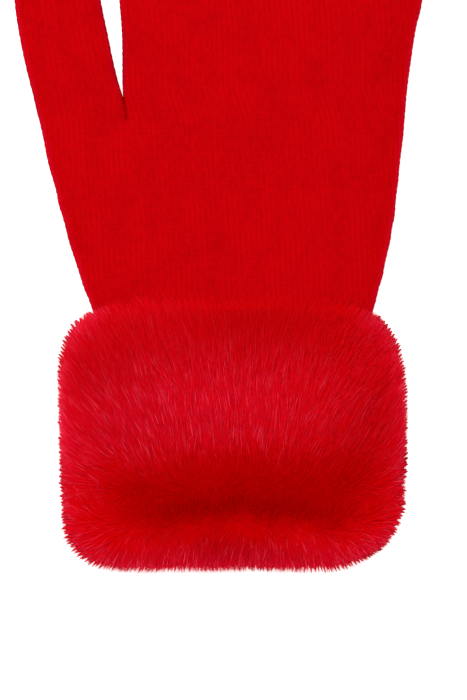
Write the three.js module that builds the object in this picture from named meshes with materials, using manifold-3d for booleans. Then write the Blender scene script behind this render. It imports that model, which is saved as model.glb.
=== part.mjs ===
// A knitted glove with a deep fur cuff, lying flat. Millimetres, +Z up.
// The glove rests on the plane z = 0, fingers towards +Y and thumb towards -X,
// with the origin under the middle of its outline.
import * as THREE from "three";
import { mergeVertices } from "three/addons/utils/BufferGeometryUtils.js";
import Module from "manifold-3d";

const wasm = await Module();
wasm.setup();

// Driving dimensions
const knitWall = 1.6; // one layer of the knit
const cuffGap = 0.4; // between the knitted wrist and the cuff's backing
const foldHeight = 2.9; // the folded edge's middle, above the underside
const mouthY = -121; // the open end of the wrist tube
const knuckleY = 54; // where the finger tubes part
const outerPoints = 20; // points round one section of a finger's outside
const innerPoints = 14; // and of its hollow
const palmPoints = 28; // points round one section of the palm or of the pile

// The palm and wrist tube, from the mouth to the knuckles
const palmRows = [
  { y: mouthY, left: -37.6, right: 40.0, bottom: 8.4, top: 21.6 },
  { y: -95, left: -37.6, right: 40.0, bottom: 8.4, top: 21.6 },
  { y: -70, left: -38.2, right: 41.0, bottom: 8.0, top: 20.8 },
  { y: -58, left: -40.2, right: 42.8, bottom: 6.8, top: 19.0 },
  { y: -50, left: -42.5, right: 44.7, bottom: 5.2, top: 17.0 },
  { y: -43, left: -45.0, right: 46.5, bottom: 3.6, top: 15.0 },
  { y: -32, left: -48.7, right: 49.3, bottom: 1.3, top: 12.6 },
  { y: -17, left: -49.5, right: 51.8, bottom: 0, top: 10.9 },
  { y: -2, left: -44.0, right: 53.5, bottom: 0, top: 10.4 },
  { y: 12, left: -35.5, right: 54.9, bottom: 0, top: 10.0 },
  { y: 28, left: -33.2, right: 55.9, bottom: 0, top: 9.4 },
  { y: 40, left: -33.4, right: 57.6, bottom: 0, top: 8.6 },
  { y: 48, left: -33.8, right: 60.0, bottom: 0, top: 7.6 },
  { y: knuckleY, left: -33.5, right: 60.4, bottom: 0, top: 6.6 },
  { y: 57.5, left: -33.0, right: 59.8, bottom: 0.8, top: 5.4 },
];

// The thumb tube, from its root inside the palm to its tip
const thumbRows = [
  { y: -36, left: -44.6, right: -20.0, bottom: 4.0, top: 8.6 },
  { y: -17, left: -53.0, right: -22.0, bottom: 0, top: 8.6 },
  { y: 5, left: -58.3, right: -28.5, bottom: 0, top: 7.8 },
  { y: 16, left: -61.0, right: -33.2, bottom: 0, top: 7.2 },
  { y: 31, left: -64.2, right: -36.6, bottom: 0, top: 6.9 },
  { y: 46, left: -66.7, right: -39.6, bottom: 0, top: 6.8 },
  { y: 56, left: -66.8, right: -42.2, bottom: 0, top: 6.7 },
  { y: 63, left: -65.0, right: -45.0, bottom: 0, top: 6.5 },
  { y: 67.5, left: -62.2, right: -48.6, bottom: 0.3, top: 6.2 },
  { y: 69.6, left: -58.8, right: -52.2, bottom: 1.2, top: 5.0 },
];

// The four finger tubes: the root's middle, the lean to the right, and the length past the knuckles
const fingers = [
  { name: "index", x: -22.0, lean: -2, length: 67, width: 23.2 },
  { name: "middle", x: 1.9, lean: 1.5, length: 76.5, width: 23.8 },
  { name: "ring", x: 26.2, lean: 5, length: 69, width: 23.4 },
  { name: "little", x: 49.6, lean: 10, length: 53, width: 21.8 },
];
const fingerRoot = 12; // how far a finger tube reaches back into the palm

// One finger's sections, along its own length: a share of the length, a share of the width, and heights
const fingerRows = [
  { along: 0.1, wide: 1.0, bottom: 0, top: 6.7 },
  { along: 0.5, wide: 0.98, bottom: 0, top: 6.6 },
  { along: 0.78, wide: 0.94, bottom: 0, top: 6.5 },
  { along: 0.9, wide: 0.84, bottom: 0, top: 6.3 },
  { along: 0.965, wide: 0.62, bottom: 0.3, top: 6.0 },
  { along: 1.0, wide: 0.3, bottom: 1.2, top: 5.0 },
];

// The pile's dense body, round the backing. Its underside is pressed flat on z = 0.
const pileRows = [
  { y: -125.5, left: -37.5, right: 38.5, bottom: 6.0, top: 24.2 },
  { y: -121.5, left: -42.5, right: 44.0, bottom: 2.0, top: 26.4 },
  { y: -114, left: -45.2, right: 47.0, bottom: -0.8, top: 27.6 },
  { y: -102, left: -46.2, right: 48.4, bottom: -0.8, top: 29.0 },
  { y: -90, left: -46.2, right: 48.4, bottom: -0.8, top: 29.4 },
  { y: -77, left: -46.0, right: 48.2, bottom: -0.8, top: 28.6 },
  { y: -66, left: -45.0, right: 47.2, bottom: 0.0, top: 26.6 },
  { y: -59, left: -43.2, right: 45.6, bottom: 3.0, top: 23.8 },
  { y: -54, left: -42.4, right: 44.8, bottom: 4.8, top: 20.8 },
];

// The locks that stand out of it. The pile parts along a short line and leans away from it all round.
const parting = { y: -111, left: -33, right: 36, soft: 16 };
const lock = { length: 18.5, width: 11, thick: 5.4, sunk: 3, rise: 5.4, spacing: 11.8, rowPitch: 8.1 };
const lockRows = 8;
const firstLockY = -119.5;

const sign = (value) => (value < 0 ? -1 : 1);
const smooth = (low, high, value) => THREE.MathUtils.smoothstep(value, low, high);

// A value of a table's rows, read between them
function between(rows, key, y) {
  const last = rows.length - 1;
  if (y <= rows[0].y) return rows[0][key];
  if (y >= rows[last].y) return rows[last][key];
  const i = rows.findIndex((row) => row.y > y);
  const share = (y - rows[i - 1].y) / (rows[i].y - rows[i - 1].y);
  return THREE.MathUtils.lerp(rows[i - 1][key], rows[i][key], share);
}

// One ring of a flattened tube: full rounded folds at the sides, a puffed top, and a flat underside
function flatRing(row, count, edge = foldHeight) {
  const middle = (row.left + row.right) / 2;
  const half = (row.right - row.left) / 2;
  const foldZ = row.bottom + Math.min(edge, (row.top - row.bottom) / 2);
  const ring = [];
  for (let k = 0; k < count; k++) {
    const angle = (2 * Math.PI * k) / count;
    const across = Math.cos(angle);
    const up = Math.sin(angle);
    const x = middle + half * sign(across) * Math.abs(across) ** 0.8;
    const rise = Math.abs(up) ** 0.72;
    const z = up >= 0
      ? foldZ + (row.top - foldZ) * rise
      : Math.max(row.bottom, foldZ - (foldZ - row.bottom) * rise * 1.12);
    ring.push(new THREE.Vector3(x, row.y, z));
  }
  return ring;
}

const centreOf = (ring) =>
  ring.reduce((sum, point) => sum.add(point), new THREE.Vector3()).divideScalar(ring.length);

// A closed geometry lofted through rings with equal numbers of points, drawn to a point at its end
function loft(rings, tip = centreOf(rings[rings.length - 1])) {
  const count = rings[0].length;
  const points = [...rings.flat(), centreOf(rings[0]), tip];
  const start = points.length - 2;
  const end = points.length - 1;
  const faces = [];
  for (let r = 0; r < rings.length - 1; r++) {
    for (let k = 0; k < count; k++) {
      const a = r * count + k;
      const b = r * count + ((k + 1) % count);
      faces.push(a, b + count, b, a, a + count, b + count);
    }
  }
  const lastRing = (rings.length - 1) * count;
  for (let k = 0; k < count; k++) {
    const next = (k + 1) % count;
    faces.push(start, k, next);
    faces.push(end, lastRing + next, lastRing + k);
  }
  const geometry = new THREE.BufferGeometry();
  geometry.setAttribute("position", new THREE.Float32BufferAttribute(points.flatMap((p) => [p.x, p.y, p.z]), 3));
  geometry.setIndex(faces);
  return geometry;
}

function solidOf(geometry) {
  const plain = geometry.clone();
  plain.deleteAttribute("normal");
  plain.deleteAttribute("uv");
  const merged = mergeVertices(plain, 1e-4);
  const made = new wasm.Manifold(
    new wasm.Mesh({
      numProp: 3,
      vertProperties: new Float32Array(merged.attributes.position.array),
      triVerts: new Uint32Array(merged.index.array),
    }),
  );
  if (made.volume() < 0) throw new Error("a loft is inside out");
  return made;
}

function geometryOf(solid) {
  const mesh = solid.getMesh();
  const geometry = new THREE.BufferGeometry();
  geometry.setAttribute("position", new THREE.Float32BufferAttribute(mesh.vertProperties, 3));
  geometry.setIndex([...mesh.triVerts]);
  return geometry;
}

const joined = (solids) => solids.reduce((whole, one) => whole.add(one));

// Rows moved in by a distance on every side, or out by a negative one
function inset(rows, by) {
  return rows.map((row) => ({
    ...row,
    left: row.left + by,
    right: row.right - by,
    bottom: row.bottom + by,
    top: row.top - by,
  }));
}

function tube(rows, count, edge) {
  return loft(rows.map((row) => flatRing(row, count, edge)));
}

const digitPoints = (by) => (by > 0 ? innerPoints : outerPoints);

// The palm and wrist: the inner one stops short of the knuckles and runs out of the mouth
function palmSolid(by) {
  const rows = inset(palmRows, by);
  rows[rows.length - 1].y -= by;
  if (by > 0) rows[0].y -= 6;
  return solidOf(tube(rows, palmPoints, foldHeight - by));
}

function thumbSolid(by) {
  const rows = inset(thumbRows, by);
  rows.forEach((row, i) => (row.y -= by * smooth(6, 9, i)));
  return solidOf(tube(rows, digitPoints(by), foldHeight - by));
}

function fingerSolid(finger, by) {
  const half = finger.width / 2;
  const heights = { bottom: fingerRows[0].bottom, top: fingerRows[0].top };
  const rows = [{ y: -fingerRoot, left: -0.9 * half, right: 0.9 * half, ...heights }];
  for (const row of fingerRows) {
    const wide = half * row.wide;
    rows.push({ y: finger.length * row.along, left: -wide, right: wide, bottom: row.bottom, top: row.top });
  }
  const moved = inset(rows, by);
  moved.forEach((row) => (row.y -= by * smooth(0.8, 1, row.y / finger.length)));
  const geometry = tube(moved, digitPoints(by), foldHeight - by);
  geometry.rotateZ(THREE.MathUtils.degToRad(-finger.lean));
  geometry.translate(finger.x, knuckleY, 0);
  return solidOf(geometry);
}

function knitShape(by) {
  return joined([palmSolid(by), thumbSolid(by), ...fingers.map((finger) => fingerSolid(finger, by))]);
}

function knitHand() {
  return knitShape(0).subtract(knitShape(knitWall));
}

// The way the pile leans at a point: away from the parting, and upright on the parting itself
function pileLean(x, y) {
  const from = THREE.MathUtils.clamp(x, parting.left, parting.right);
  return new THREE.Vector3(x - from, y - parting.y, 0);
}

// An even spread of values from -1 to 1, one for each whole number
const uneven = (n) => 2 * ((n * 0.618034) % 1) - 1;

// One lock: rooted in the body, it swells and then runs out to a tip that bends over to the pile's lean
function lockSolid(root, normal, flow, room, n) {
  const lying = flow.clone().addScaledVector(normal, -flow.dot(normal));
  const length = lock.length * room * (1 + 0.16 * uneven(n * 3));
  const rise = lock.rise * (1 + 0.22 * uneven(n * 5 + 1));
  const foot = root.clone().addScaledVector(normal, -lock.sunk);
  const swell = root.clone().addScaledVector(normal, rise * 0.62).addScaledVector(lying, length * 0.3);
  const neck = root.clone().addScaledVector(normal, rise).addScaledVector(lying, length * 0.68);
  const tip = root.clone().addScaledVector(normal, rise * 1.15).addScaledVector(lying, length);
  const along = tip.clone().sub(foot).normalize();
  const side = new THREE.Vector3().crossVectors(along, normal);
  if (side.lengthSq() < 0.02) side.crossVectors(new THREE.Vector3(0, 1, 0), normal);
  side.normalize();
  const through = new THREE.Vector3().crossVectors(side, along).normalize();
  const ring = (at, share) =>
    [[1, 0], [0, 1], [-1, 0], [0, -1]].map(([s, t]) =>
      at.clone()
        .addScaledVector(side, (s * share * lock.width) / 2)
        .addScaledVector(through, (t * share * lock.thick) / 2));
  return solidOf(loft([ring(foot, 0.7), ring(swell, 1), ring(neck, 0.66)], tip));
}

// Locks in rows round the cuff, each row set half a step on from the last
function lockSolids() {
  const made = [];
  for (let r = 0; r < lockRows; r++) {
    const y = firstLockY + r * lock.rowPitch;
    const row = { y };
    for (const key of ["left", "right", "bottom", "top"]) row[key] = between(pileRows, key, y);
    row.bottom = Math.max(row.bottom, 0);
    const ring = flatRing(row, 240, (row.top - row.bottom) / 2);
    const curve = new THREE.CatmullRomCurve3(ring, true);
    const count = Math.round(curve.getLength() / lock.spacing);
    for (let k = 0; k < count; k++) {
      const n = made.length + 7 * r;
      const share = ((k + (r % 2) / 2 + 0.14 * uneven(n)) / count + 1) % 1;
      const root = curve.getPointAt(share);
      const tangent = curve.getTangentAt(share);
      const lean = pileLean(root.x, root.y);
      const far = smooth(0, parting.soft, lean.length());
      const ends = 1 - smooth(-124, -114, y);
      const normal = new THREE.Vector3(tangent.z, -ends * 1.1, -tangent.x).normalize();
      if (root.z < 1 && normal.z < -0.8) continue; // pressed flat under the cuff
      const corner = Math.abs(normal.x) * smooth(-78, -62, y);
      const room = 1 - 0.6 * ends - 0.45 * corner;
      lean.normalize().applyAxisAngle(new THREE.Vector3(0, 0, 1), 0.2 * uneven(n * 2));
      made.push(lockSolid(root, normal, lean.multiplyScalar(0.3 + 0.7 * far), room, n));
    }
  }
  return made;
}

function furCuff() {
  const body = solidOf(tube(pileRows, palmPoints, 15));
  const sleeve = inset(palmRows, -cuffGap);
  sleeve[0].y -= 12;
  sleeve[sleeve.length - 1].y += 1;
  const hollow = solidOf(tube(sleeve, palmPoints, foldHeight + cuffGap));
  const pile = joined([body, ...lockSolids()]);
  return pile.subtract(hollow).trimByPlane([0, 0, 1], 0);
}

function part(name, solid, colour, roughness) {
  const material = new THREE.MeshStandardMaterial({ color: colour, roughness, metalness: 0 });
  const mesh = new THREE.Mesh(geometryOf(solid), material);
  mesh.name = name;
  return mesh;
}

const glove = new THREE.Group();
glove.add(part("knit_hand", knitHand(), 0xc4010a, 0.9));
glove.add(part("fur_cuff", furCuff(), 0xca0818, 0.75));

export default glove;
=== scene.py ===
import math

import bmesh
import bpy
import numpy as np
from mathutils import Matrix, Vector
from mathutils.kdtree import KDTree


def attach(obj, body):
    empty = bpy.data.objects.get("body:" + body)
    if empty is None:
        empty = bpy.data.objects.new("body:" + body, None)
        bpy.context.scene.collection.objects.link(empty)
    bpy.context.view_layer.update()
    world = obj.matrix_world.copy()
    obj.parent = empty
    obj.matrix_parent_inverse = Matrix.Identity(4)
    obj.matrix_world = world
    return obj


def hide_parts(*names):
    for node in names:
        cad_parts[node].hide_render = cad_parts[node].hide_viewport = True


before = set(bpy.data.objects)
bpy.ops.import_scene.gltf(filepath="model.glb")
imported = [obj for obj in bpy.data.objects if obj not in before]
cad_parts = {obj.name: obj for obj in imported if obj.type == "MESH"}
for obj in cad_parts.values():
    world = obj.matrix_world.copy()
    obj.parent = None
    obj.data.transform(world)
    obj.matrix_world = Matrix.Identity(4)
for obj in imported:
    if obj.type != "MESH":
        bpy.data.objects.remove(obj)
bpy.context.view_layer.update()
scene = bpy.context.scene
mm = 0.001


# camera: straight above, as in the photo
view = {
    "x": 1.4,
    "y": -62.3,
    "height": 217,  # what the picture shows from top to bottom
    "level": 6,  # at this height above the floor
    "lens": 180,
}


def addObject(name, data):
    made = bpy.data.objects.new(name, data)
    scene.collection.objects.link(made)
    return made


def addCamera():
    data = bpy.data.cameras.new("camera")
    data.lens = view["lens"]
    away = view["height"] * view["lens"] / data.sensor_width
    camera = addObject("camera", data)
    camera.location = Vector((view["x"], view["y"], view["level"] + away)) * mm
    scene.camera = camera


addCamera()
scene.view_settings.view_transform = "Standard"
print("camera set")


# shader helpers
class Level:
    # a node's output: it can be linked, and used in sums
    def __init__(self, finish, socket):
        self.finish = finish
        self.socket = socket

    def maths(self, operation, *others, clamp=False):
        inputs = dict(enumerate((self, *others)))
        return self.finish.node("ShaderNodeMath", {"operation": operation, "use_clamp": clamp}, inputs)

    def __add__(self, other):
        return self.maths("ADD", other)

    def __sub__(self, other):
        return self.maths("SUBTRACT", other)

    def __rsub__(self, other):
        return self * -1 + other

    def __mul__(self, other):
        return self.maths("MULTIPLY", other)

    def __truediv__(self, other):
        return self.maths("DIVIDE", other)

    def __pow__(self, other):
        return self.maths("POWER", other)

    __radd__ = __add__
    __rmul__ = __mul__

    def sine(self):
        return self.maths("SINE")

    def size(self):
        return self.maths("ABSOLUTE")

    def fraction(self):
        return self.maths("FRACT")

    def within(self):
        return self.maths("ADD", 0.0, clamp=True)


class Finish:
    # a material under construction
    def __init__(self, name):
        self.material = bpy.data.materials.new(name)
        self.material.use_nodes = True
        self.tree = self.material.node_tree
        self.tree.nodes.clear()

    def node(self, kind, settings=None, inputs=None, output=0):
        node = self.tree.nodes.new(kind)
        for key, value in (settings or {}).items():
            setattr(node, key, value)
        for key, value in (inputs or {}).items():
            if isinstance(value, Level):
                self.tree.links.new(value.socket, node.inputs[key])
            else:
                node.inputs[key].default_value = value
        return Level(self, node.outputs[output]) if len(node.outputs) else None

    def attribute(self, name):
        return self.node("ShaderNodeAttribute", {"attribute_name": name}, None, "Fac")

    def noise(self, scale, detail=2.0, stretch=(1.0, 1.0, 1.0)):
        place = self.node("ShaderNodeTexCoord", None, None, "Object")
        mapped = self.node("ShaderNodeMapping", None, {"Vector": place, "Scale": stretch})
        sockets = {"Vector": mapped, "Scale": scale, "Detail": detail}
        return self.node("ShaderNodeTexNoise", None, sockets)

    def blend(self, factor, first, second):
        return self.node("ShaderNodeMix", {"data_type": "RGBA"}, {0: factor, 6: first, 7: second}, 2)

    def bump(self, settings, height):
        return self.node("ShaderNodeBump", None, {**settings, "Height": height})

    def surface(self, colour, roughness, shine=0.0, **others):
        inputs = {"Base Color": colour, "Roughness": roughness, "Specular IOR Level": shine, **others}
        shader = self.node("ShaderNodeBsdfPrincipled", None, inputs)
        self.node("ShaderNodeOutputMaterial", None, {"Surface": shader})
        return self.material


def mixed(low, high, share):
    return low + (high - low) * share


def eased(low, high, value):
    share = np.clip((np.asarray(value, float) - low) / (high - low), 0.0, 1.0)
    return share * share * (3.0 - 2.0 * share)


def finishedMesh(bm, name):
    # from millimetres to metres, smooth
    for face in bm.faces:
        face.smooth = True
    bmesh.ops.scale(bm, vec=(mm, mm, mm), verts=bm.verts[:])
    mesh = bpy.data.meshes.new(name)
    bm.to_mesh(mesh)
    bm.free()
    return mesh


def placePiece(name, mesh, material, node):
    mesh.materials.append(material)
    piece = addObject(name, mesh)
    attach(piece, "root")
    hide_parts(node)
    return piece


# the knitted glove
knit = {
    "wall": 1.5,
    "fold": 2.9,  # radius of the folded edges
    "mostFold": 0.3,  # at most this share of the thumb's or a finger's width
    "foldStart": 12,  # how far past the crotch the edges beside it are fully folded
    "crotchX": -31.7,
    "crotchY": 8.4,
    "crotchReach": 9,  # how far round the crotch its crease is shallow
    "crotchLift": 0.6,
    "knuckleY": 54,
    "mouthY": -121,
    "rowStep": 0.9,
    "thumbRows": 64,
    "thumbCrowd": 1.25,  # above 1, the rows lie closer towards the tip
    "thumbColumns": 20,
    "fingerColumns": (15, 16, 15, 15),
    "wale": 1.7,  # width of one column of stitches
    "course": 1.35,  # height of one row of stitches
    "puffReach": 9,
    "scallop": 0.08,  # how far the rows of stitches stand out at the edges
    "scallopReach": 0.9,
    "scallopVary": (0.4, 1.3),  # how unevenly, and how fast that changes along the glove
    "scallopClear": (9, 16),  # how far from the crotch they begin, and are full
    "highlightReach": 2.2,  # width of the painted highlight along the folded edges
    "highlightClear": (7, 13),  # the same for the painted highlight
    "leastEdge": 0.03,  # how near the outline a vertex may lie that isn't on it
    "merge": 0.004,  # vertices nearer than this become one
    "colour": (0.562, 0.0001, 0.0022, 1),
    # a painted highlight along the folded edges
    "rimHighlightColour": (0.693, 0.0013, 0.016, 1),
}

# the outline from the mouth to the thumb's crotch: y, left, right
palmOutline = np.array([
    (-121, -37.6, 40), (-95, -37.6, 40), (-72, -38, 40.8), (-60, -39.6, 42.4),
    (-50.2, -42.2, 44.6), (-46.8, -43.4, 45.6), (-43.1, -45, 46.5), (-39.4, -46.2, 47.7),
    (-35.7, -47.4, 48.4), (-31.9, -48.7, 49.3), (-28.2, -49.9, 50.2), (-24.5, -50.8, 50.7),
    (-20.8, -51.8, 51.5), (-17.1, -53, 51.8), (-13.3, -53.7, 52.2), (-9.6, -54.7, 52.7),
    (-5.9, -55.8, 53), (-2.2, -56.7, 53.4), (1.6, -57.4, 53.9), (5, -58.1, 54.3),
    (8.4, -58.85, 54.55),
])
# the palm beyond the crotch: y, left, right
upperOutline = np.array([
    (8.4, -31.7, 54.55), (12.7, -32.4, 54.9), (16.4, -32.95, 55.2), (20.2, -33.15, 55.6),
    (27.6, -33.2, 56.6), (35, -33.3, 57.7), (38.8, -33.5, 58.4), (42.5, -33.8, 59.4),
    (46.2, -34.1, 60.1), (50, -34, 60.4), (54, -33.6, 60.4),
])
# the thumb: y, left, right
thumbOutline = np.array([
    (8.4, -58.85, -31.7), (12.7, -60, -32.15), (16.4, -60.8, -32.95), (20.2, -61.8, -34.15),
    (27.6, -63.6, -36), (35, -65.1, -37.5), (42.5, -66.3, -39.1), (46.2, -66.7, -39.8),
    (52, -66.8, -41), (57, -66.5, -42.4), (61.5, -65.5, -44.3), (65, -63.9, -46.6),
    (67.6, -61.8, -49.2), (69.2, -59.6, -51.8), (69.9, -57.6, -53.8),
])
# heights of the underside and the crown along the glove: y, bottom, top
heights = np.array([
    (-121, 8.4, 21.6), (-95, 8.4, 21.6), (-70, 8, 20.8), (-58, 6.8, 19), (-50, 5.2, 17),
    (-43, 3.6, 15.2), (-32, 1.3, 12.8), (-17, 0.05, 11), (-2, 0.05, 10.4), (12, 0.05, 9.9),
    (28, 0.05, 9.3), (40, 0.05, 8.4), (54, 0.05, 7.2), (75, 0.05, 7), (131, 0.05, 6.9),
])
# the fingers past the knuckles: lean to the right in degrees, length, width
fingers = {
    "index": (-2, 66.5, 23.2),
    "middle": (1.5, 76.2, 23.8),
    "ring": (5, 68.8, 23.4),
    "little": (10, 52.8, 21.8),
}
fingerForm = {
    "rows": 0.92,  # for each rowStep of the length
    "crowd": 1.2,
    "taper": 0.06,
    "tipStart": 0.72,  # of the length
    "tipPower": 2.6,
    "tipClosed": 0.985,
    "tipRound": 2.2,
    "ownWidth": 6,  # how far past the knuckles a finger has its own width
    "ownFold": 9,
    "ownLean": 18,
}
# how much longer a folded edge is than it looks from above, for a radius of 1
foldExtra = math.pi / 2 - 1


def readTable(table, column, at):
    # a smooth curve through a table's rows
    ys = table[:, 0]
    values = table[:, column]
    slopes = np.gradient(values, ys)
    at = np.clip(at, ys[0], ys[-1])
    cell = np.clip(np.searchsorted(ys, at, side="right") - 1, 0, len(ys) - 2)
    span = ys[cell + 1] - ys[cell]
    t = (at - ys[cell]) / span
    return (
        (2 * t**3 - 3 * t**2 + 1) * values[cell]
        + (t**3 - 2 * t**2 + t) * span * slopes[cell]
        + (3 * t**2 - 2 * t**3) * values[cell + 1]
        + (t**3 - t**2) * span * slopes[cell + 1]
    )


def readPair(table, at):
    # left and right, or bottom and top
    return readTable(table, 1, at), readTable(table, 2, at)


def foldedAcross(share, left, right, leftFold, rightFold):
    # columns evenly spaced over a folded sheet: near a fold they crowd towards the edge
    whole = (right - left) + foldExtra * (leftFold + rightFold)
    run = share * whole
    back = whole - run

    def inward(distance, fold):
        safe = np.maximum(fold, 1e-6)
        bent = safe * (1 - np.cos(np.minimum(distance / safe, math.pi / 2)))
        return np.where(distance < fold * math.pi / 2, bent, distance - foldExtra * fold)

    fromLeft = left + inward(run, leftFold)
    fromRight = right - inward(back, rightFold)
    return np.where(share < 0.5, fromLeft, fromRight), run


def flatPlaces(verts):
    return np.array([vert.co[:2] for vert in verts])


def addPanel(bm, columns, rows, place):
    # a grid laid out by place(column share, row share) -> x, y, wale, course
    made = bmesh.ops.create_grid(bm, x_segments=columns, y_segments=rows, size=0.5)["verts"]
    shares = flatPlaces(made) + 0.5
    x, y, wale, course = place(shares[:, 0], shares[:, 1])
    ridge = np.cos(np.round(shares[:, 1] * rows) * math.pi)
    for name, values in (("wale", wale), ("course", course), ("ridge", ridge)):
        layer = bm.verts.layers.float[name]
        for vert, value in zip(made, values):
            vert[layer] = value
    for vert, acrossGlove, alongGlove in zip(made, x, y):
        vert.co = (acrossGlove, alongGlove, 0.0)
    return made, shares


def palmLower(u, v):
    y = mixed(knit["mouthY"], knit["crotchY"], v)
    left, right = readPair(palmOutline, y)
    fold = np.full_like(y, knit["fold"])
    x, run = foldedAcross(lowerShares(u), left, right, fold, fold)
    whole = (right - left) + foldExtra * 2 * knit["fold"]
    wale = (run - whole / 2) / knit["wale"]  # counted from the sheet's middle
    return x, y, wale, y / knit["course"]


def crotchWidths():
    # level with the crotch: the sheet's whole width over its folds, and the thumb's part of it
    left, right = readPair(palmOutline, knit["crotchY"])
    extra = foldExtra * knit["fold"]
    return right - left + 2 * extra, knit["crotchX"] - left + extra


def lowerShares(u):
    # the share of the width at each column: the thumb's columns and the palm's keep to their parts
    ratio = knit["thumbColumns"] / (knit["thumbColumns"] + sum(knit["fingerColumns"]))
    whole, beforeCrotch = crotchWidths()
    crotch = beforeCrotch / whole
    return np.where(u <= ratio, u * crotch / ratio, crotch + (u - ratio) * (1 - crotch) / (1 - ratio))


def thumbPanel(u, v):
    first = knit["crotchY"]
    y = first + (thumbOutline[-1, 0] - first) * (1 - (1 - v) ** knit["thumbCrowd"])
    left, right = readPair(thumbOutline, y)
    most = (right - left) * knit["mostFold"]
    outer = np.minimum(knit["fold"], most)
    inner = np.minimum(knit["fold"] * eased(first, first + knit["foldStart"], y), most)
    x, _ = foldedAcross(u, left, right, outer, inner)
    whole, beforeCrotch = crotchWidths()
    full = (right - left) + foldExtra * (outer + inner)
    wale = (u * np.minimum(full, beforeCrotch) - whole / 2) / knit["wale"]
    return x, y, wale, y / knit["course"]


def palmUpper(u, v):
    y = mixed(knit["crotchY"], knit["knuckleY"], v)
    left, right = readPair(upperOutline, y)
    inner = knit["fold"] * eased(knit["crotchY"], knit["crotchY"] + knit["foldStart"], y)
    outer = np.full_like(y, knit["fold"])
    x, run = foldedAcross(u, left, right, inner, outer)
    whole, beforeCrotch = crotchWidths()
    wale = (run + beforeCrotch - whole / 2) / knit["wale"]
    return x, y, wale, y / knit["course"]


def fingerPanel(index, name):
    lean, length, width = fingers[name]
    angle = math.radians(lean)
    counts = knit["fingerColumns"]
    edges = np.array([sum(counts[:index]), sum(counts[: index + 1])]) / sum(counts)
    ends = palmUpper(edges, np.ones(2))[0]
    middle = ends.mean()
    rootHalf = (ends[1] - ends[0]) / 2
    form = fingerForm
    tipStart = length * form["tipStart"]

    def place(u, v):
        _, _, wale, course = palmUpper(mixed(edges[0], edges[1], u), np.ones_like(u))
        t = length * (1 - (1 - v) ** form["crowd"])
        tip = np.clip((t - tipStart) / (length - tipStart), 0, 1)
        rounded = (1 - tip ** form["tipPower"] * form["tipClosed"]) ** (1 / form["tipRound"])
        half = width / 2 * (1 - form["taper"] * t / length) * rounded
        half = mixed(rootHalf, half, eased(0, form["ownWidth"], t))
        root = eased(0, form["ownFold"], t)
        most = half * 2 * knit["mostFold"]
        leftFold = np.minimum(knit["fold"] * (1.0 if index == 0 else root), most)
        rightFold = np.minimum(knit["fold"] * (1.0 if index == len(fingers) - 1 else root), most)
        offset, _ = foldedAcross(u, -half, half, leftFold, rightFold)
        turned = angle * eased(0, form["ownLean"], t)
        x = middle + math.sin(angle) * t + np.cos(turned) * offset
        y = knit["knuckleY"] + math.cos(angle) * t - np.sin(turned) * offset
        return x, y, wale, course + t / knit["course"]

    return place


def distanceToOutline(points, starts, ends):
    # the shortest way from each point to any of the segments
    batch = 2000  # points at a time
    along = ends - starts
    lengths = np.maximum((along**2).sum(1), 1e-12)
    nearest = []
    for k in range(0, len(points), batch):
        part = points[k : k + batch, None, :] - starts[None]
        t = np.clip((part * along).sum(2) / lengths, 0, 1)
        gap = part - along * t[..., None]
        nearest.append(np.sqrt((gap**2).sum(2).min(1)))
    return np.concatenate(nearest)


def layPanels(bm):
    # lays the flat sheet out panel by panel, and returns the segments of its outline
    counts = knit["fingerColumns"]
    step = knit["rowStep"]
    lowerRows = round((knit["crotchY"] - knit["mouthY"]) / step)
    upperRows = round((knit["knuckleY"] - knit["crotchY"]) / step)
    panels = [
        (knit["thumbColumns"] + sum(counts), lowerRows, palmLower, False),
        (knit["thumbColumns"], knit["thumbRows"], thumbPanel, True),
        (sum(counts), upperRows, palmUpper, False),
    ]
    for index, name in enumerate(fingers):
        rows = round(fingers[name][1] / step * fingerForm["rows"])
        panels.append((counts[index], rows, fingerPanel(index, name), True))
    onEdge = 1e-4
    starts, ends = [], []
    for columns, rows, place, closed in panels:
        made, shares = addPanel(bm, columns, rows, place)
        flat = flatPlaces(made)
        borders = [shares[:, 0], 1 - shares[:, 0]]
        if closed:
            borders.append(1 - shares[:, 1])
        for away in borders:
            edge = flat[np.abs(away) < onEdge]
            starts.append(edge[:-1])
            ends.append(edge[1:])
    return np.concatenate(starts), np.concatenate(ends)


def buildKnit():
    bm = bmesh.new()
    for name in ("wale", "course", "edge", "ridge"):
        bm.verts.layers.float.new(name)
    starts, ends = layPanels(bm)
    bmesh.ops.remove_doubles(bm, verts=bm.verts[:], dist=knit["merge"])
    top = bm.verts[:]
    flat = flatPlaces(top)
    edge = np.maximum(distanceToOutline(flat, starts, ends), knit["leastEdge"])
    folded = np.array([vert.is_boundary for vert in top])
    inMouth = (flat[:, 1] < knit["mouthY"] + knit["rowStep"] / 2) & (edge > knit["leastEdge"])
    edge[folded & ~inMouth] = 0.0
    edgeLayer = bm.verts.layers.float["edge"]
    for vert, value in zip(top, edge):
        vert[edgeLayer] = value
    copied = bmesh.ops.duplicate(bm, geom=bm.verts[:] + bm.edges[:] + bm.faces[:])["geom"]
    under = [item for item in copied if isinstance(item, bmesh.types.BMVert)]
    bmesh.ops.reverse_faces(bm, faces=[item for item in copied if isinstance(item, bmesh.types.BMFace)])
    shape(top, flat, edge, 1.0)
    shape(under, flatPlaces(under), np.array([vert[edgeLayer] for vert in under]), -1.0)
    bmesh.ops.remove_doubles(bm, verts=bm.verts[:], dist=knit["merge"])
    bmesh.ops.recalc_face_normals(bm, faces=bm.faces[:])
    crown = max(bm.faces, key=lambda face: face.calc_center_median().z)
    if crown.normal.z < 0:
        bmesh.ops.reverse_faces(bm, faces=bm.faces[:])
    scallop(bm)
    return finishedMesh(bm, "knit_glove")


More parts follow.
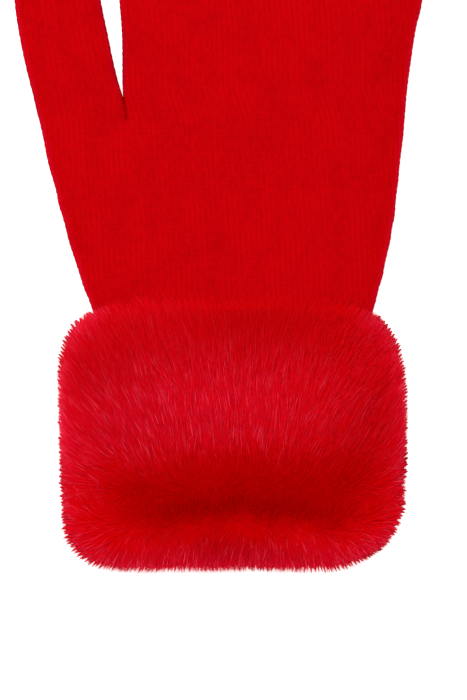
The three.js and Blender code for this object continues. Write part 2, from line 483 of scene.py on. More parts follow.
def shape(verts, flat, edge, side):
    # puffs a flat sheet up, or presses it down, by the distance from its outline
    fold = knit["fold"]
    bottom, top = readPair(heights, flat[:, 1])
    near = np.minimum(edge, fold)
    quarter = np.sqrt(np.maximum(fold**2 - (fold - near) ** 2, 0))
    fromCrotch = np.hypot(flat[:, 0] - knit["crotchX"], flat[:, 1] - knit["crotchY"])
    lift = knit["crotchLift"] * (1 - eased(0, knit["crotchReach"], fromCrotch))
    middle = bottom + fold + lift * (fold - quarter)
    if side > 0:
        beyond = 1 - np.exp(-np.maximum(edge - fold, 0) / knit["puffReach"])
        z = middle + quarter + (top - bottom - 2 * fold) * beyond
    else:
        z = middle - quarter
    for vert, height in zip(verts, z):
        vert.co.z = height


def scallop(bm):
    # the rows of stitches stand out a little where the sheet folds over
    bm.normal_update()
    edgeLayer = bm.verts.layers.float["edge"]
    ridgeLayer = bm.verts.layers.float["ridge"]
    vary, turn = knit["scallopVary"]
    for vert in bm.verts:
        fromCrotch = math.hypot(vert.co.x - knit["crotchX"], vert.co.y - knit["crotchY"])
        stand = knit["scallop"] * vert[ridgeLayer] * math.exp(-vert[edgeLayer] / knit["scallopReach"])
        stand *= float(eased(*knit["scallopClear"], fromCrotch))
        stand *= 1 - vary + vary * math.sin(vert.co.y * turn)
        if vert.co.z > knit["scallop"]:
            vert.co += vert.normal * stand
        inCrotch = 1 - float(eased(*knit["highlightClear"], fromCrotch))  # there the sheet has neither the painted highlight rim nor the painted shade line
        vert[edgeLayer] = max(vert[edgeLayer], knit["highlightReach"] * inCrotch)


# how the stitches show, with painted shade and highlights on them; the noises have a scale, a detail and a
# stretch
stitches = {
    "cloudy": (55, 3),
    "shadePatches": (160, 2, (1, 0.5, 1)),
    "fine": (1100, 3, (1, 0.45, 1)),
    "slant": 0.55,  # of a row, how far the legs of a stitch lean
    "plainFrom": 0.35,  # the columns' painted shade shows where the patchy noise is above this
    "plainGain": 3,
    "relief": {"Strength": 0.45, "Distance": 0.0004},
    "slantRelief": 0.15,
    # how much each part darkens or lightens: the painted shade of rib and slant, the random tone of cloudy
    # and fine, and the least
    "shades": {"rib": 0.13, "slant": 0.04, "cloudy": 0.15, "fine": 0.42, "least": 0.59},
    # how the painted highlight fades inwards from the edge
    "highlightPower": 0.7,
    "line": {"gain": 1.7, "from": 0.4, "depth": 0.45},  # a ragged line of painted shade at the very edge
    "roughness": 0.95,
    "shine": 0.01,
}


def knitFinish():
    finish = Finish("fine red knit")
    wale, course, edge = (finish.attribute(name) for name in ("wale", "course", "edge"))
    cloudy, shadePatches, fine = (finish.noise(*stitches[name]) for name in ("cloudy", "shadePatches", "fine"))
    # rib paints shade between the columns, slant paints light and shade on the stitches' legs; cloudy and
    # fine vary the tone at random
    across = (wale.fraction() - 0.5).size() * 2  # 0 in a column's middle, 1 between columns
    leg = (across * math.pi).sine()
    slant = ((course + across * stitches["slant"]) * (2 * math.pi)).sine() * leg
    rib = (1 - across**3) * ((shadePatches - stitches["plainFrom"]) * stitches["plainGain"]).within()
    shares, line = stitches["shades"], stitches["line"]
    shade = rib * shares["rib"] + slant * shares["slant"] + cloudy * shares["cloudy"]
    shade = shade + fine * shares["fine"] + shares["least"]
    # painted shade: a ragged darker line along the very edge of the fold
    lit = (edge * line["gain"] + shadePatches - line["from"]).within()
    shade = shade * (lit * line["depth"] + (1 - line["depth"]))
    # painted highlight: a paler rim along the folded edges
    rim = (edge / knit["highlightReach"]).within() ** stitches["highlightPower"]
    tone = finish.blend(rim, knit["rimHighlightColour"], knit["colour"])
    colour = finish.blend(shade.within(), (0.0, 0.0, 0.0, 1.0), tone)
    relief = finish.bump(stitches["relief"], rib + slant * stitches["slantRelief"] + fine)
    return finish.surface(colour, stitches["roughness"], stitches["shine"], Normal=relief)


glove = placePiece("knit_glove", buildKnit(), knitFinish(), "knit_hand")
wall = glove.modifiers.new("wall", "SOLIDIFY")
wall.thickness = knit["wall"] * mm
wall.offset = -1.0
print("knit made", len(glove.data.polygons))


# the fur cuff: a body of dense under fur round the wrist, and the longer strands over it
# its outline from above, a boxy ellipse
outline = {"middle": (0.9, -88.2), "half": (54, 42.3), "square": 4.75}
# how the outline swells and draws in beside that: degrees round from the right, share
swells = np.array([
    (0, 0.998), (12, 0.999), (24, 0.989), (36, 0.976), (60, 0.99), (139, 0.991), (147, 1), (156, 1),
    (178, 0.985), (202, 0.981), (214, 1.022), (222, 1.034), (240, 1.003), (252, 0.996), (266, 0.994),
    (280, 0.983), (306, 1.012), (311, 1.003), (319, 0.969), (328, 0.983), (337, 0.998), (344, 0.995),
])
underFur = {
    "mouthEnd": -125,
    "handEnd": -52.5,
    "inset": 0.93,  # of the outline's half width
    "level": 15,  # the height where the cuff is widest
    "bottom": 0.5,
    "top": 31.3,
    "clear": 0.6,  # from the knitted glove
    "squareAbove": 3,  # 2 would be round, more is boxier
    "squareBelow": 5,
    "squareInside": 1.9,
    "squareLoop": 4,
    "partingDip": 7.4,  # how far the parting lies below the crown
    "lipDip": 5,
    "lipReach": 6,
    "slope": 23,  # how long the rise from the parting to the crown is
    "columns": 150,
    "rows": 96,
    "merge": 0.01,
    "grain": (900, 3, (1, 0.3, 1)),
    "grainShade": 0.2,
    "leastShade": 0.25,
    "relief": {"Strength": 0.4, "Distance": 0.0004},
    "roughness": 0.9,
}
pile = {
    "seed": 7,
    "length": 12,
    "middleX": 1.9,
    "partingY": -109.8,
    "partingWander": ((0.9, 0.13, 1), (0.5, 0.37, 0)),  # waves: how far, how fast, from where
    "mingle": 2.5,  # how far strands of one side stand beyond the parting
    "calm": (-74, -60),  # where the pile gets smoother towards the hand
    "calmAcross": (34, 44),
    "knitAlong": (-60, -52),  # where it begins to lie on the knit, and does so fully
    "knitAcross": (36, 44),  # where that ends at the sides
    "clear": 0.4,  # from the knitted glove
    "clearHeight": 15,  # for strands that start above this
    "clearHalf": 41,
    "leastHeight": 0.15,
    "roughness": 0.5,
    # painted shade colour, for the parting and the shade spots
    "shadeColour": (0.405, 0.0001, 0.0002, 1),
    "redColour": (0.808, 0.0003, 0.001, 1),
    # painted highlight colours: the strands' tips and the glinting strands
    "tipSheenColour": (0.88, 0.0065, 0.04, 1),
    "glintColour": (1, 0.08, 0.17, 1),
    # painted shade at the tips of the tufts round the edge
    "tuftTipShadeColour": (0.17, 0.004, 0.006, 1),
}
# spots of painted shade on the pile, or of painted light below 0: x, y, reach across, reach along, how much
shadeSpots = [
    (42.8, -82.5, 9, 13, 0.3), (-43, -71.6, 9, 7, 0.2), (4, -54, 15, 6, 0.2),
    (22, -47, 12, 6, 0.16), (0, -122.5, 17, 4, 0.85), (0, -127.5, 44, 5, 0.37),
    (20, -50, 70, 11, 0.27), (38, -100, 14, 9, 0.34), (-36, -78, 16, 20, 0.2),
    (8, -64, 60, 9, 0.13), (-26, -74, 16, 12, 0.07), (17, -124.5, 9, 4, 0.25),
    (-25, -113.5, 13, 4.5, -0.3), (27, -117.5, 9, 4.5, -0.22), (48, -96.5, 6, 8, -0.2),
]
# where the pale strands of painted glints show: the same columns
glints = [
    (-6, -78, 38, 18, 0.8), (-35, -92, 20, 16, 0.6), (0, -126, 52, 5, 0.9),
    (-28, -48, 14, 9, 0.25), (-45, -54, 7, 7, 0.4), (47, -54, 7, 7, 0.4),
    (0, -119.5, 46, 4.5, 0.5), (-43, -105, 9, 14, 0.25), (28, -121, 12, 5, 0.35),
]
# how many strands each zone has
zones = {
    "pile_crown": 39000,
    "pile_hand_end": 36000,
    "pile_lip": 32000,
    "pile_sides": 32000,
    "pile_under": 14000,
}


def boxed(value, square):
    return np.sign(value) * np.abs(value) ** (2 / square)


def swellAt(x, y):
    # how much the outline swells that way from its middle
    degrees = np.degrees(np.arctan2(y, x))
    return np.interp(degrees, swells[:, 0], swells[:, 1], period=360)


def reach(points):
    # 0 at the middle of the cuff's outline, 1 on it
    x, y = (points[..., i] - outline["middle"][i] for i in (0, 1))
    share = [np.abs(x) / outline["half"][0], np.abs(y) / outline["half"][1]]
    square = outline["square"]
    return (share[0] ** square + share[1] ** square) ** (1 / square) / swellAt(x, y)


def beyondParting(points):
    # how far a point lies from the wandering parting, towards the hand
    wander = sum(far * np.sin(points[..., 0] * turn + start) for far, turn, start in pile["partingWander"])
    return points[..., 1] - pile["partingY"] - wander


def besideMiddle(points):
    return np.abs(points[..., 0] - pile["middleX"])


def dipAt(y):
    # how far the upper side lies below the crown
    beyond = y - pile["partingY"]
    rise = underFur["partingDip"] * (1 - eased(0, underFur["slope"], beyond))
    lip = mixed(underFur["lipDip"], underFur["partingDip"], np.exp(-((beyond / underFur["lipReach"]) ** 2)))
    return np.where(beyond > 0, rise, lip)


def underFurPoint(around, profile):
    # around runs round the wrist, profile round the wall of the cuff, both from 0 to 1
    turn = 2 * math.pi * around
    square = np.where(np.sin(turn) > 0, underFur["squareAbove"], underFur["squareBelow"])
    across = boxed(np.cos(turn), square)
    upward = boxed(np.sin(turn), square)
    loop = 2 * math.pi * profile
    alongShare = (1 - boxed(np.cos(loop), underFur["squareLoop"])) / 2
    outward = (1 + boxed(np.sin(loop), underFur["squareLoop"])) / 2
    y = mixed(underFur["mouthEnd"], underFur["handEnd"], alongShare)
    square = outline["square"]
    far = np.abs(y - outline["middle"][1]) / outline["half"][1]
    half = underFur["inset"] * outline["half"][0] * (1 - far**square) ** (1 / square)
    level = underFur["level"]
    rise = np.where(upward > 0, underFur["top"] - dipAt(y) - level, level - underFur["bottom"])
    outer = np.stack([outline["middle"][0] + half * across, y, level + rise * upward], axis=-1)
    clear, square = underFur["clear"], underFur["squareInside"]
    left, right = readPair(palmOutline, y)
    bottom, top = readPair(heights, y)
    x = mixed(left - clear, right + clear, (1 + boxed(np.cos(turn), square)) / 2)
    z = mixed(bottom - clear, top + clear, (1 + boxed(np.sin(turn), square)) / 2)
    inner = np.stack([x, y, z], axis=-1)
    return mixed(inner, outer, outward[..., None])


def spots(points, table):
    # the table's soft round spots, row by row
    for x, y, across, alongGlove, amount in table:
        away = ((points[:, 0] - x) / across) ** 2 + ((points[:, 1] - y) / alongGlove) ** 2
        yield amount * np.exp(-away)


def calmAcross(points):
    return 1 - eased(*pile["calmAcross"], np.abs(points[:, 0]))


# the pile's painted shade, darkest in the parting: pairs are where something begins and where it is full
shades = {
    "handReach": 20,  # from the parting to the light crown
    "lipReach": 13,  # the same towards the mouth
    "lipPower": 1.15,
    "lipMost": 0.76,
    "leftSooner": 0.25,
    "left": (-34, -8),
    "asideLeast": 0.24,
    "aside": (12, 30),
    "sides": (26, 50),
    "heights": (5, 15),
    "tuftTips": (0.985, 1.03),  # of the outline, where the tufts' tips are painted dark
}


def fromParting(points):
    # as beyondParting, but on the left the painted shade gives way to light sooner
    beyond = beyondParting(points)
    sooner = shades["leftSooner"]
    faster = 1 + sooner - sooner * eased(*shades["left"], points[:, 0])
    return np.where(beyond > 0, beyond * faster, beyond)


def lightness(points):
    # painted shade: 0 in the parting, 1 on the crown, less or more in the painted spots, and below 0 at the
    # tufts' tips, which are painted dark
    away = fromParting(points)
    lip = np.clip(-away / shades["lipReach"], 0, 1) ** shades["lipPower"] * shades["lipMost"]
    share = np.where(away > 0, np.clip(away / shades["handReach"], 0, 1), lip)
    aside = besideMiddle(points)
    share = np.maximum(share, shades["asideLeast"] * eased(*shades["aside"], aside))
    share = mixed(share, 1, eased(*shades["sides"], aside))
    for amount in spots(points, shadeSpots):
        share *= 1 - amount
    share = mixed(1.0, share, eased(*shades["heights"], points[:, 2]))
    return mixed(share, -1, eased(*shades["tuftTips"], reach(points)) * (1 - overKnit(points)))


# how much the painted highlights of pale strands show, and the painted backlight round the rim: the same
# kind of pairs
highlights = {
    "all": 0.3,
    "calmCut": 0.6,
    "calmAlong": (-70, -54),
    "rim": 0.6,
    "rimStart": (0.87, 0.96),  # of the outline
    "rimEnd": (0.985, 1.01),
    "low": 0.2,
    "lowHeights": (3, 12),
    "handSide": (6, 21),  # from the parting
    "mouthSide": (2, 13),
    "sides": (34, 48),
    "heights": (12, 20),
}


# painted highlights: how much the pale strand tips show, and the painted backlight round the rim
def paintedHighlight(points):
    away = fromParting(points)
    far = reach(points)
    rim = eased(*highlights["rimStart"], far) * (1 - overKnit(points))
    calm = eased(*highlights["calmAlong"], points[:, 1]) * calmAcross(points)
    share = highlights["all"] * (1 - highlights["calmCut"] * calm) + sum(spots(points, glints)) + highlights["rim"] * rim
    share *= 1 - eased(*highlights["rimEnd"], far) * rim
    deep = np.where(away > 0, eased(*highlights["handSide"], away), eased(*highlights["mouthSide"], -away))
    deep = mixed(deep, 1, eased(*highlights["sides"], besideMiddle(points)))
    share *= mixed(highlights["low"], 1.0, eased(*highlights["lowHeights"], points[:, 2]))
    return share * mixed(1.0, deep, eased(*highlights["heights"], points[:, 2]))


def overKnit(points):
    # 1 where a point lies over the knitted glove, beyond the cuff
    return eased(*pile["knitAlong"], points[:, 1]) * (1 - eased(*pile["knitAcross"], besideMiddle(points)))


def addLevels(mesh, levels):
    for name, values in levels.items():
        mesh.attributes.new(name, "FLOAT", "POINT").data.foreach_set("value", values)


def buildUnderFur():
    bm = bmesh.new()
    columns, rows = underFur["columns"], underFur["rows"]
    made = bmesh.ops.create_grid(bm, x_segments=columns, y_segments=rows, size=0.5)["verts"]
    shares = flatPlaces(made) + 0.5
    for vert, place in zip(made, underFurPoint(shares[:, 0], shares[:, 1])):
        vert.co = place
    bmesh.ops.remove_doubles(bm, verts=bm.verts[:], dist=underFur["merge"])
    bmesh.ops.recalc_face_normals(bm, faces=bm.faces[:])
    places = np.array([vert.co[:] for vert in bm.verts])
    mesh = finishedMesh(bm, "pile_under_fur")
    addLevels(mesh, {"lightness": lightness(places)})
    return mesh


def underFurFinish():
    finish = Finish("red under fur")
    grain = finish.noise(*underFur["grain"])
    # painted shade: the under fur darkens towards the parting, by the lightness, with a random grain
    shade = finish.attribute("lightness") + underFur["leastShade"] + grain * underFur["grainShade"]
    colour = finish.blend(shade.within(), pile["shadeColour"], pile["redColour"])
    relief = finish.bump(underFur["relief"], grain)
    return finish.surface(colour, underFur["roughness"], Normal=relief)


placePiece("pile_under_fur", buildUnderFur(), underFurFinish(), "fur_cuff")
print("under fur made")


def unit(vectors):
    return vectors / np.maximum(np.linalg.norm(vectors, axis=-1, keepdims=True), 1e-9)


# the cuff's soft rounded form, which gives the strands their way out
softForm = {"middle": (1.9, -89, 15), "half": (52, 40, 17), "power": (4, 4, 2.6)}


def outwardAt(points):
    middle, half, power = (np.array(softForm[key]) for key in ("middle", "half", "power"))
    share = (points - middle) / half
    return unit(np.sign(share) * np.abs(share) ** (power - 1) * power / half)


def ripple(points, size, seed):
    # numbers that wander smoothly over the cuff, about -1 to 1
    dice = np.random.default_rng(seed)
    waves, usualSum = 5, 2.2
    total = np.zeros(len(points))
    for step in range(waves):
        way = unit(dice.normal(size=3))
        turns = points @ way * (2 * math.pi / size) * (0.7 + 0.35 * step)
        total += np.sin(turns + dice.uniform(0, 2 * math.pi))
    return total / usualSum


# where the strands are rooted
rooting = {
    "above": 18,  # the zones' heights above the floor
    "under": 5,
    "handEnd": 27,  # beyond the parting
    "facesMouth": -0.6,
    "around": 480,  # small areas to pick from, round the wrist and along the wall
    "along": 240,
    "outerStart": -0.02,  # the outer side's part of the wall's profile
    "outerPart": 0.54,
    "partingMore": 0.6,  # how much denser the parting is
    "partingReach": 9,
    "facing": 0.6,  # how much the way out follows the wall, beside the soft form
}


def zoneOf(points, normals):
    # the zone that each root is in, by name
    above = points[:, 2] > rooting["above"]
    lip = (points[:, 1] < pile["partingY"]) & (above | (normals[:, 1] < rooting["facesMouth"]))
    atHand = points[:, 1] > pile["partingY"] + rooting["handEnd"]
    crown = np.where(atHand, "pile_hand_end", "pile_crown")
    names = np.where(above, crown, np.where(points[:, 2] < rooting["under"], "pile_under", "pile_sides"))
    return np.where(lip, "pile_lip", names)


def scatterRoots(dice):
    # places on the under fur's outer side, evenly within each zone, and the way out there
    columns, rows = rooting["around"], rooting["along"]
    stepAround, stepProfile = 1 / columns, rooting["outerPart"] / rows
    middles = (np.arange(rows) + 0.5) / rows * rooting["outerPart"] + rooting["outerStart"]
    around, profile = np.meshgrid((np.arange(columns) + 0.5) / columns, middles)
    around, profile = around.ravel(), profile.ravel()
    corner = underFurPoint(around - stepAround / 2, profile - stepProfile / 2)
    right = underFurPoint(around + stepAround / 2, profile - stepProfile / 2) - corner
    up = underFurPoint(around - stepAround / 2, profile + stepProfile / 2) - corner
    crossed = np.cross(right, up)
    area = np.linalg.norm(crossed, axis=1)
    places = corner + (right + up) / 2
    soft = outwardAt(places)
    facing = unit(crossed)
    facing *= np.sign((facing * soft).sum(1, keepdims=True))
    zone = zoneOf(places, soft)
    atParting = np.exp(-((beyondParting(places) / rooting["partingReach"]) ** 2))
    weight = area * (1 + rooting["partingMore"] * atParting)
    roots, ways = [], []
    for name, count in zones.items():
        share = np.where(zone == name, weight, 0.0)
        picked = dice.choice(len(area), size=count, p=share / share.sum())
        across = right[picked] * dice.random((count, 1))
        roots.append(corner[picked] + across + up[picked] * dice.random((count, 1)))
        ways.append(unit(facing[picked] * rooting["facing"] + soft[picked] * (1 - rooting["facing"])))
    return np.concatenate(roots), np.concatenate(ways)


# how the pile is brushed: degrees aside at a distance from the middle, and the power by which they grow
comb = {
    "toHand": (42, 45, 1.1),
    "toMouth": (54, 44, 2.1),
    "partingReach": 7,  # in the parting the strands lie sideways, further out
    "partingSides": (20, 40),
    "wander": 9,
    "ripple": (17, 3),  # size and seed
}


def combedWay(points, beyond, stray=0.0):
    # the way the pile is brushed, from above: away from the parting, and fanned out to the sides
    x = points[:, 0] - pile["middleX"]
    far = np.abs(x)
    toHand, toMouth = (most * (far / at) ** power for most, at, power in (comb["toHand"], comb["toMouth"]))
    inParting = np.exp(-((beyond / comb["partingReach"]) ** 2)) * eased(*comb["partingSides"], far)
    slant = mixed(np.where(beyond > 0, toHand, toMouth), 90, inParting)
    wander = comb["wander"] * ripple(points, *comb["ripple"]) + stray
    slant = np.radians(slant + wander * np.sign(x * beyond))
    way = [np.sin(slant) * np.sign(x), np.cos(slant) * np.sign(beyond), np.zeros_like(x)]
    return np.stack(way, axis=-1)


# how the strands grow, and what changes near the parting, in its crease and where they lie calm
growth = {
    "lengths": (0.7, 1.1),
    "vary": 0.08,
    "ripple": (9, 5),
    "underHeight": 5,  # below this they are shorter
    "underLength": 0.6,
    "parting": {"reach": 9, "stray": 12, "shorter": 0.4, "flatter": 0.3, "steadier": 0.05},
    "crease": {"reach": 6, "stray": 35, "shorter": 0.2, "flatter": 0.35},
    "calm": {"along": (-76, -60), "longer": 0.25, "flatter": 0.68, "steadier": 0.04},
    "lifts": (0.5, 0.28, 0.12),  # how much each third of a strand rises
    "sideLift": 0.45,
    "sideLevel": 0.4,
    "jitter": 0.08,
}


def growPaths(roots, out, beyond, dice):
    # four points along each strand
    count = len(roots)
    parting, crease, calm = growth["parting"], growth["crease"], growth["calm"]
    above = np.maximum(out[:, 2], 0)
    away = beyondParting(roots)
    near, felted = (np.exp(-((away / kind["reach"]) ** 2)) * above for kind in (parting, crease))
    strays = parting["stray"] * near + crease["stray"] * felted
    combed = combedWay(roots, beyond, dice.normal(size=count) * strays)
    combed = unit(combed - (combed * out).sum(1, keepdims=True) * out + 1e-6)
    sideways = 1 - np.abs(out[:, 2])
    vary = 1 + growth["vary"] * ripple(roots, *growth["ripple"])
    length = pile["length"] * dice.uniform(*growth["lengths"], count) * vary
    shorter = 1 - parting["shorter"] * near - crease["shorter"] * felted
    length *= np.where(roots[:, 2] < growth["underHeight"], growth["underLength"], 1.0) * shorter
    still = eased(*calm["along"], roots[:, 1]) * above
    length *= 1 + calm["longer"] * still * calmAcross(roots)
    flat = 1 - parting["flatter"] * near - crease["flatter"] * felted - calm["flatter"] * still
    jitter = growth["jitter"] - parting["steadier"] * near - calm["steadier"] * still
    level = (1 - growth["sideLevel"] * sideways)[:, None] * combed
    paths = [roots]
    for lift in growth["lifts"]:
        raised = (lift * flat + growth["sideLift"] * sideways)[:, None] * out
        way = unit(raised + level + dice.normal(size=(count, 3)) * jitter[:, None])
        paths.append(paths[-1] + way * (length / 3)[:, None])
    return np.stack(paths, axis=1)


# the small tufts round the edge
tufts = {
    "start": 0.991,  # of the outline
    "length": (0, 1.1),
    "lowerLength": 0.5,  # shorter by this towards the mouth
    "lower": (118, 126),
    "step": 1.1,
    "uneven": 0.7,
    "lean": 0.7,  # how much they point outwards, beside the way the pile is brushed
    "level": 13,  # of the tips, and how uneven it is
    "levels": 3,
    "reach": 8,  # how far above and below that level their strands end
    "from": 0.95,  # of the outline
    "share": 0.85,
    "pull": (0.25, 0.65, 0.92),  # how close a tuft's strands are at each of their points
    "pulls": (0.85, 1.03),
    "pullUpward": 0.2,
    "mouthY": -120,  # none across the mouth
    "mouthHeight": 12,
    "mouthHalf": 42,
}


def joinsTuft(paths, dice):
    # the strands that make up the tufts
    end = paths[:, -1]
    level = np.abs(end[:, 2] - tufts["level"]) < tufts["reach"]
    aside = np.abs(end[:, 0]) > tufts["mouthHalf"]
    level &= (end[:, 1] > tufts["mouthY"]) | (paths[:, 0, 2] > tufts["mouthHeight"]) | aside
    near = level & (reach(end) > tufts["from"]) & (overKnit(end) < 0.5)
    return near & (dice.random(len(end)) < tufts["share"])


# where strands that would grow past the outline end, in shares of it: round the edge, and over the knit
trim = {
    "start": (0.949, 0.875),
    "feather": (0.027, 0.042),  # how far they go beyond that on average
    "longest": (1.005, 1.09),
    "slack": 0.007,
    "leastGap": 0.01,
    "leastLength": 0.25,  # the share of its length that a strand keeps
    "leastStub": 0.05,  # the same where it would still go past the longest
}


def trimmed(paths, inTuft, dice):
    onKnit = overKnit(paths[:, -1])
    first, feather, longest = (mixed(*trim[key], onKnit) for key in ("start", "feather", "longest"))
    limit = np.minimum(first + feather * dice.exponential(size=len(paths)), longest)
    limit[inTuft] = 1.0
    start = reach(paths[:, 0])
    end = reach(paths[:, -1])
    gap = np.maximum(end - start, trim["leastGap"])
    share = np.clip(np.where(end > limit, (limit - start) / gap, 1.0), trim["leastLength"], 1)
    most = longest + trim["slack"]
    stub = np.maximum((most - start) / gap, trim["leastStub"])
    share = np.where(end > most, np.minimum(share, stub), share)
    return paths[:, :1] + (paths - paths[:, :1]) * share[:, None, None]


def nearestOf(places, targets):
    tree = KDTree(len(targets))
    for k, target in enumerate(targets):
        tree.insert(target, k)
    tree.balance()
    return np.array([tree.find(place)[1] for place in places])


# wisps of strands that lean to one another
wisps = {
    "size": 1.5,
    "parted": (0, 8, 0),  # keeps the parting's two sides in wisps of their own
    "pull": 0.3,
    "pulls": (0.4, 1.3),
    "darkPull": 0.3,
    "calmCut": 0.75,
    "power": 1.4,  # above 1, the pull grows more towards the tips
}


def drawTogether(paths, beyond, dice):
    # the strands of a wisp lean their tips to one another
    roots = paths[:, 0]
    span = roots.max(0) - roots.min(0)
    total = int(2 * (span[0] * span[1] + span[1] * span[2] + span[0] * span[2]) / wisps["size"] ** 2)
    leaders = dice.choice(len(roots), size=total, replace=False)
    parted = roots + np.sign(beyond)[:, None] * np.array(wisps["parted"])
    nearest = leaders[nearestOf(parted, parted[leaders])]
    strength = wisps["pull"] * dice.uniform(*wisps["pulls"], len(roots))
    calm = 1 - wisps["calmCut"] * eased(*pile["calm"], paths[:, 2, 1])
    strength *= mixed(wisps["darkPull"], 1, lightness(paths[:, 2])) * calm
    last = paths.shape[1] - 1
    for point in range(1, last + 1):
        pull = strength * (point / last) ** wisps["power"]
        paths[:, point] += (paths[nearest, point] - paths[:, point]) * pull[:, None]
    return nearest


def tuftTips(dice):
    # the tips of the small tufts, all round the outline
    turn = np.linspace(0, 2 * math.pi, 4001)
    ways = (np.cos(turn), np.sin(turn))
    x, y = (outline["half"][i] * boxed(ways[i], outline["square"]) for i in (0, 1))
    rim = np.stack([x, y, np.zeros_like(x)], axis=-1) * (tufts["start"] * swellAt(x, y))[:, None]
    rim += np.array([*outline["middle"], 0])
    run = np.concatenate([[0], np.cumsum(np.linalg.norm(np.diff(rim, axis=0), axis=1))])
    total = int(run[-1] / tufts["step"])
    at = (np.arange(total) + dice.uniform(0, tufts["uneven"], total)) * run[-1] / total
    starts = np.stack([np.interp(at, run, rim[:, i]) for i in (0, 1, 2)], axis=-1)
    outward = unit(outwardAt(starts) * np.array([1, 1, 0]))
    lean = unit(tufts["lean"] * outward + combedWay(starts, beyondParting(starts)))
    shorter = 1 - tufts["lowerLength"] * eased(*tufts["lower"], -starts[:, 1])
    length = dice.uniform(*tufts["length"], total) * shorter
    tips = starts + lean * length[:, None]
    tips[:, 2] = tufts["level"] + dice.normal(size=total) * tufts["levels"]
    return tips, lean


def gatherTufts(paths, inTuft, dice):
    tips, lean = tuftTips(dice)
    own = paths[inTuft]
    flatten = np.array([1, 1, 0])
    nearest = nearestOf(own[:, -1] * flatten, tips * flatten)
    left = np.linalg.norm(own - own[:, -1:], axis=2)
    for point, pull in enumerate(tufts["pull"], start=1):
        axis = tips[nearest] - lean[nearest] * left[:, point : point + 1]
        pull = pull * dice.uniform(*tufts["pulls"], (len(own), 1)) * np.array([1, 1, tufts["pullUpward"]])
        own[:, point] += (axis - own[:, point]) * pull
    paths[inTuft] = own


def keepClear(paths):
    # nothing goes under the floor or into the knitted glove
    over = readTable(heights, 2, paths[..., 1].ravel()).reshape(paths.shape[:2]) + pile["clear"]
    fromAbove = (paths[:, :1, 2] > pile["clearHeight"]) & (besideMiddle(paths) < pile["clearHalf"])
    z = np.where(fromAbove, np.maximum(paths[..., 2], over), paths[..., 2])
    paths[..., 2] = np.maximum(z, pile["leastHeight"])


# one strand: pairs of points at each third of its length and one at the tip, in three faces
thirds = np.array([0, 0, 1, 1, 2, 2, 3]) / 3
pattern = np.array([0, 1, 3, 2, 2, 3, 5, 4, 4, 5, 6])
faceStarts = np.array([0, 4, 8])
# where each strand lies on its zone's own map
cellGrid = {"shades": 12, "tints": 0.9, "columnsToRows": 2, "inset": 0.15}


def addCells(mesh, shade):
    # every strand gets a cell of its own on the map, next to strands of the same shade
    count = len(shade)
    columns = math.ceil(math.sqrt(count * cellGrid["columnsToRows"]))
    rows = math.ceil(count / columns)
    place = np.empty(count, int)
    place[np.argsort(shade)] = np.arange(count)
    inset = cellGrid["inset"]
    across = np.array([0, 1, 0, 1, 0, 1, 0.5]) * (1 - 2 * inset) + inset
    along = thirds * (1 - 2 * inset) + inset
    u = (place[:, None] % columns + across[pattern]) / columns
    v = (place[:, None] // columns + along[pattern]) / rows
    mesh.uv_layers.new(name="OFBake").data.foreach_set("uv", np.stack([u, v], axis=-1).ravel())


# the strands' form
ribbon = {
    "width": 0.25,
    "widths": (0.7, 1.2),
    "darkWider": 0.1,
    "calmNarrower": 0.45,
    "taper": (1, 0.9, 0.62),
    "upward": 0.5,  # how much their flat sides turn up
    "roll": 0.03,  # and aside
    "lightRoll": 0.37,
    "calmSteadier": 0.8,
    "rimBacklight": 0.5,  # how much paler they get round the edge, a painted backlight
    "rim": (0.945, 0.99),
}


def ribbons(name, paths, out, tintAndSheen, dice):
    # one tapering ribbon for each strand, all in one mesh
    count = len(paths)
    light = np.clip(lightness(paths[:, 2]), 0, 1)
    calm = eased(*pile["calm"], paths[:, 2, 1])
    roll = ribbon["roll"] + ribbon["lightRoll"] * light * (1 - ribbon["calmSteadier"] * calm)
    facing = unit(out + np.array([0, 0, ribbon["upward"]]) + roll[:, None] * dice.normal(size=(count, 3)))
    side = unit(np.cross(unit(paths[:, 3] - paths[:, 0]), facing))
    wider = 1 + ribbon["darkWider"] * (1 - light) - ribbon["calmNarrower"] * calm
    width = ribbon["width"] * dice.uniform(*ribbon["widths"], count) * wider
    points = np.empty((count, len(thirds), 3))
    for step, share in enumerate(ribbon["taper"]):
        half = side * (width * share / 2)[:, None]
        points[:, step * 2] = paths[:, step] - half
        points[:, step * 2 + 1] = paths[:, step] + half
    points[:, -1] = paths[:, -1]
    corners = (np.arange(count)[:, None] * len(thirds) + pattern).ravel()
    starts = (np.arange(count)[:, None] * len(pattern) + faceStarts).ravel()
    mesh = bpy.data.meshes.new(name)
    mesh.vertices.add(count * len(thirds))
    mesh.vertices.foreach_set("co", (points * mm).ravel())
    mesh.loops.add(len(corners))
    mesh.loops.foreach_set("vertex_index", corners)
    mesh.polygons.add(len(starts))
    mesh.polygons.foreach_set("loop_start", starts)
    addCells(mesh, light + cellGrid["tints"] * np.clip(tintAndSheen, 0, 1) / cellGrid["shades"])
    flat = points.reshape(-1, 3)
    # painted backlight: strands round the edge get paler
    rim = eased(*ribbon["rim"], reach(flat)) * (1 - overKnit(flat))
    addLevels(mesh, {
        "along": np.tile(thirds, count),
        "lightness": lightness(flat),
        "paintedHighlight": paintedHighlight(flat),
        "tintAndSheen": np.repeat(tintAndSheen, len(thirds)) + ribbon["rimBacklight"] * rim,
    })
    mesh.update(calc_edges=True)
    mesh.validate()
    return mesh


# the strands' colours: random tints, painted shade at the roots, and painted highlights towards the tips
# and on the glinting strands
tints = {
    "own": 0.25,
    "wisp": 0.25,
    "glintShare": 0.12,  # this share of the strands, painted glints, is paler by
    "glintGain": 0.5,
    # painted shade at the roots
    "rootShade": 0.8,
    "tipFrom": 0.42,  # of the length, where the painted tip highlight begins
    "tipGain": 1.8,
    "least": 0.3,
    "darkShare": 0.4,
}


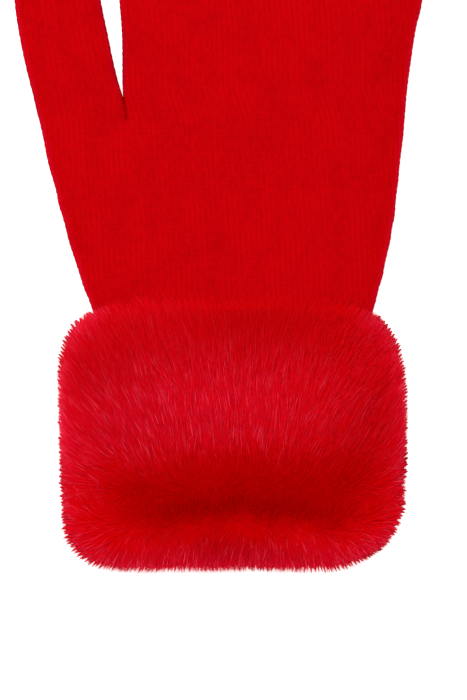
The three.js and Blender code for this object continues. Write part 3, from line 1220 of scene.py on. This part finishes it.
def pileFinish():
    finish = Finish("red faux fur")
    names = ("along", "lightness", "paintedHighlight", "tintAndSheen")
    along, light, highlight, tintAndSheen = (finish.attribute(name) for name in names)
    # painted shade, by place and darker towards the roots
    shade = light * (tints["rootShade"] + along * (1 - tints["rootShade"]))
    low = finish.blend(shade.within(), pile["shadeColour"], pile["redColour"])
    # painted shade: the tufts' tips go dark
    low = finish.blend((light * -1).within(), low, pile["tuftTipShadeColour"])
    # painted highlights towards the tips, paler on the glinting strands, less in the painted shade
    tip = finish.blend((tintAndSheen * 2 - 1).within(), pile["tipSheenColour"], pile["glintColour"])
    highlightShown = (along - tints["tipFrom"]) * tints["tipGain"] * highlight * (tintAndSheen + tints["least"])
    highlightShown = highlightShown * (light * (1 - tints["darkShare"]) + tints["darkShare"])
    return finish.surface(finish.blend(highlightShown.within(), low, tip), pile["roughness"])


def growPile():
    dice = np.random.default_rng(pile["seed"])
    roots, out = scatterRoots(dice)
    beyond = beyondParting(roots) + dice.normal(size=len(roots)) * pile["mingle"]
    paths = growPaths(roots, out, beyond, dice)
    inTuft = joinsTuft(paths, dice)
    paths = trimmed(paths, inTuft, dice)
    nearest = drawTogether(paths, beyond, dice)
    gatherTufts(paths, inTuft, dice)
    keepClear(paths)
    tintAndSheen = tints["own"] * dice.random(len(paths)) + tints["wisp"] * dice.random(len(paths))[nearest]
    # painted glints: a share of the strands are made paler
    tintAndSheen += np.where(dice.random(len(paths)) < tints["glintShare"], tints["glintGain"], 0.0)
    material = pileFinish()
    first = 0
    for name, count in zones.items():
        own = slice(first, first + count)
        mesh = ribbons(name, paths[own], out[own], tintAndSheen[own], dice)
        placePiece(name, mesh, material, "fur_cuff")
        first += count
        print(name, "made", count)


growPile()
print("pile made")


# floor and light
paper = {"half": 4000, "grain": 40, "tones": (0.8, 0.84), "roughness": 0.9, "glow": 0.75}
light = {
    "dome": 0.545,
    "key": 11.35,
    "keySize": 0.9,  # this and the places in metres
    "keyPlace": (-0.2, 0.4, 1.2),
    "keyAim": (0, -0.06, 0),
    "bounces": 8,  # light goes deep into the pile
}


def addFloor():
    finish = Finish("white paper")
    low, high = ((tone, tone, tone, 1.0) for tone in paper["tones"])
    colour = finish.blend(finish.noise(paper["grain"]), low, high)
    glow = {"Emission Color": (1.0, 1.0, 1.0, 1.0), "Emission Strength": paper["glow"]}
    material = finish.surface(colour, paper["roughness"], **glow)
    bm = bmesh.new()
    bmesh.ops.create_grid(bm, x_segments=2, y_segments=2, size=paper["half"])
    mesh = finishedMesh(bm, "floor")
    mesh.materials.append(material)
    floor = addObject("floor", mesh)


def addLight():
    world = bpy.data.worlds.new("studio")
    scene.world = world
    world.use_nodes = True
    back = world.node_tree.nodes["Background"]
    back.inputs["Color"].default_value = (1.0, 1.0, 1.0, 1.0)
    back.inputs["Strength"].default_value = light["dome"]
    data = bpy.data.lights.new("key", "AREA")
    data.energy = light["key"]
    data.size = light["keySize"]
    key = addObject("key", data)
    key.location = light["keyPlace"]
    key.rotation_mode = "QUATERNION"
    aim = Vector(light["keyAim"]) - key.location
    key.rotation_quaternion = aim.to_track_quat("-Z", "Y")
    key.visible_camera = False
    scene.cycles.diffuse_bounces = light["bounces"]


addFloor()
addLight()
print("floor and light set")
